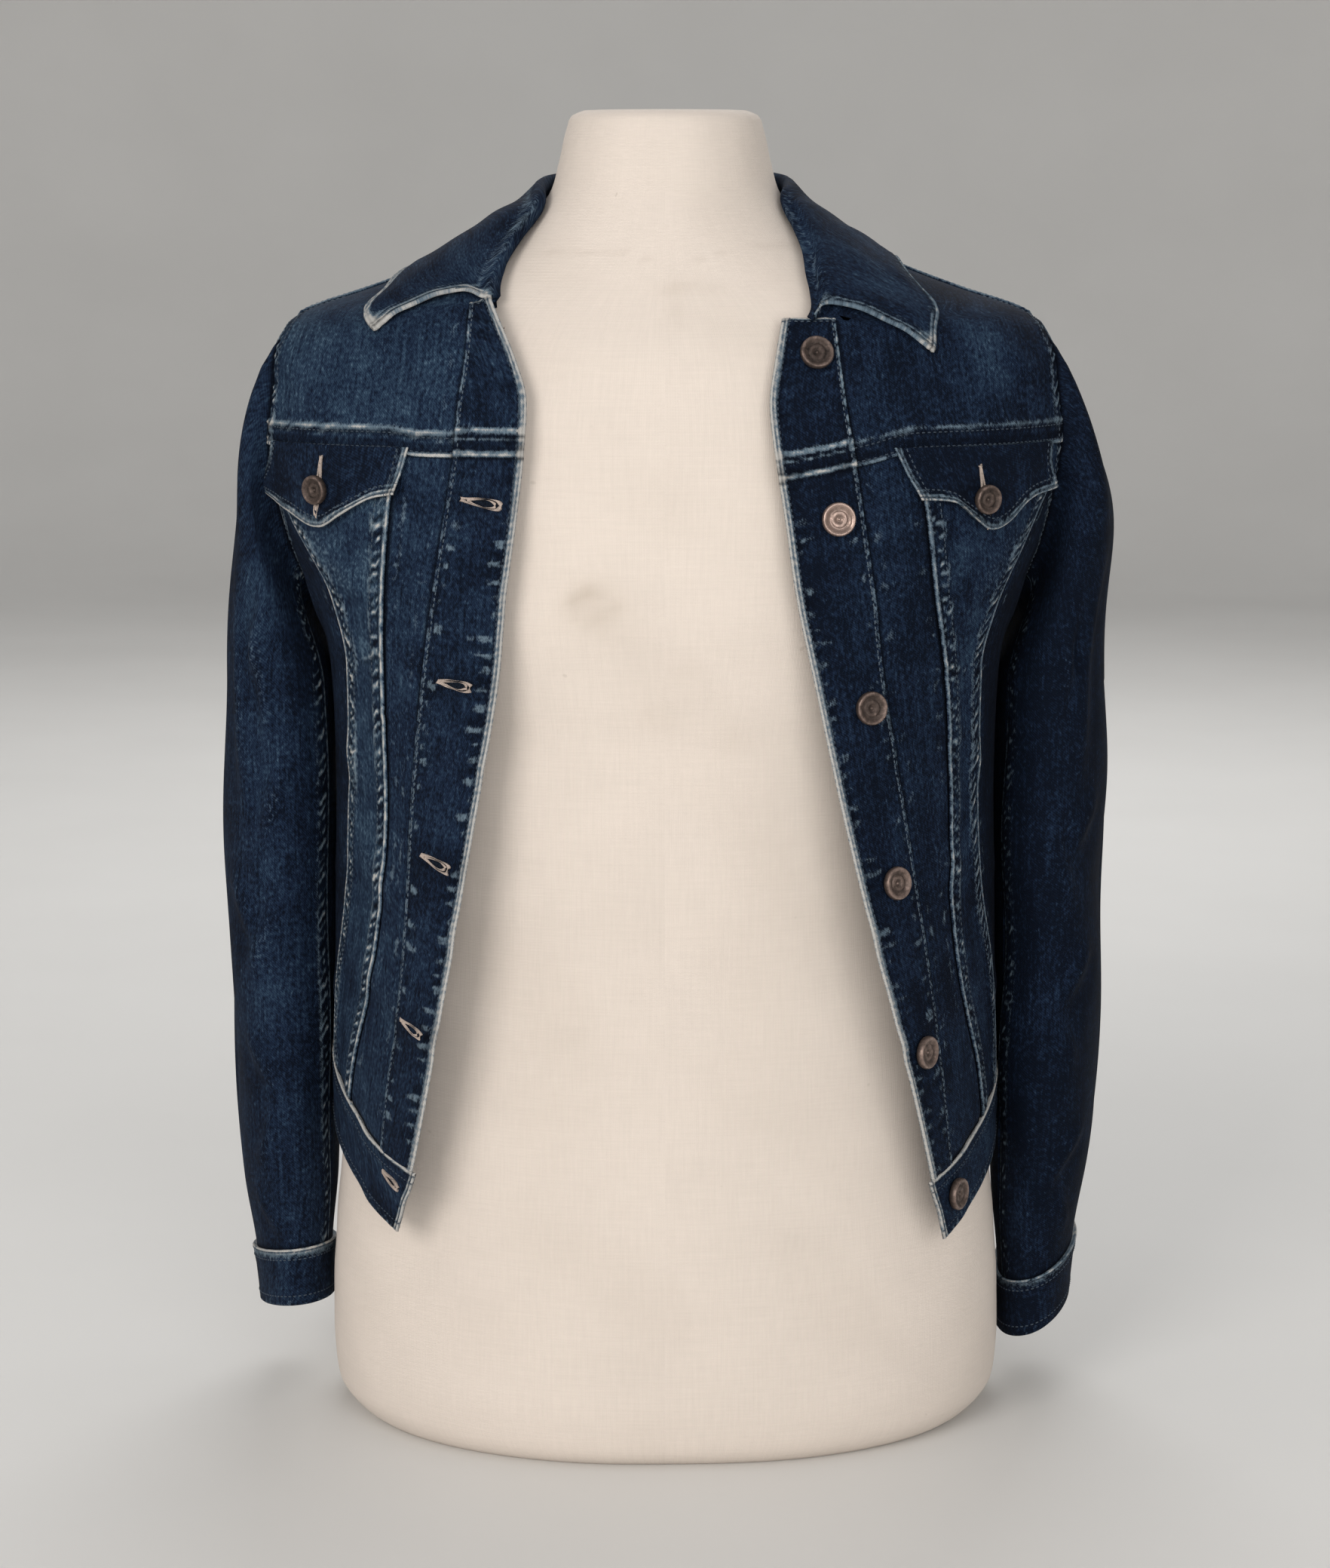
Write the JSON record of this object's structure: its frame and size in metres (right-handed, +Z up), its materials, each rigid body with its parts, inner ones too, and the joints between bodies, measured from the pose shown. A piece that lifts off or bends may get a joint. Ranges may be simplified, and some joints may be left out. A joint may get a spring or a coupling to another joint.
{
  "type": "denim jacket on a dress form",
  "caption": "Fitted denim jacket worn open on a limbless dress form with a neck: panelled fronts, pointed pocket flaps, turned-down collar, long empty sleeves and metal buttons.",
  "frame": {"origin": "middle of the form's flat base, on the surface that it stands on", "axes": "+Z up; -Y to the front of the jacket; +X to the wearer's left"},
  "size_m": [0.484, 0.2501, 0.7],
  "materials": {
    "dark_denim": "dark indigo cotton twill, matt",
    "faded_denim": "washed indigo cotton twill, matt, paler along its seams",
    "linen": "cream linen cover, smooth and matt",
    "copper": "aged copper, satin"
  },
  "bodies": {
    "root": {"dress_form": "linen", "back_yoke": "faded_denim", "back_centre": "faded_denim", "back_side_left": "dark_denim", "back_side_right": "dark_denim", "waistband": "dark_denim", "collar": "dark_denim", "front_centre_left": "faded_denim", "pocket_panel_left": "faded_denim", "front_side_left": "faded_denim", "placket_left": "dark_denim", "front_yoke_left": "faded_denim", "flap_left": "dark_denim", "sleeve_under_left": "dark_denim", "sleeve_upper_left": "dark_denim", "cuff_left": "dark_denim", "front_centre_right": "faded_denim", "pocket_panel_right": "faded_denim", "front_side_right": "faded_denim", "placket_right": "dark_denim", "front_yoke_right": "faded_denim", "flap_right": "dark_denim", "sleeve_under_right": "dark_denim", "sleeve_upper_right": "dark_denim", "cuff_right": "dark_denim", "button_1": "copper", "button_2": "copper", "button_3": "copper", "button_4": "copper", "button_5": "copper", "button_6": "copper", "flap_button_left": "copper", "flap_button_right": "copper"}
  },
  "joints": []
}
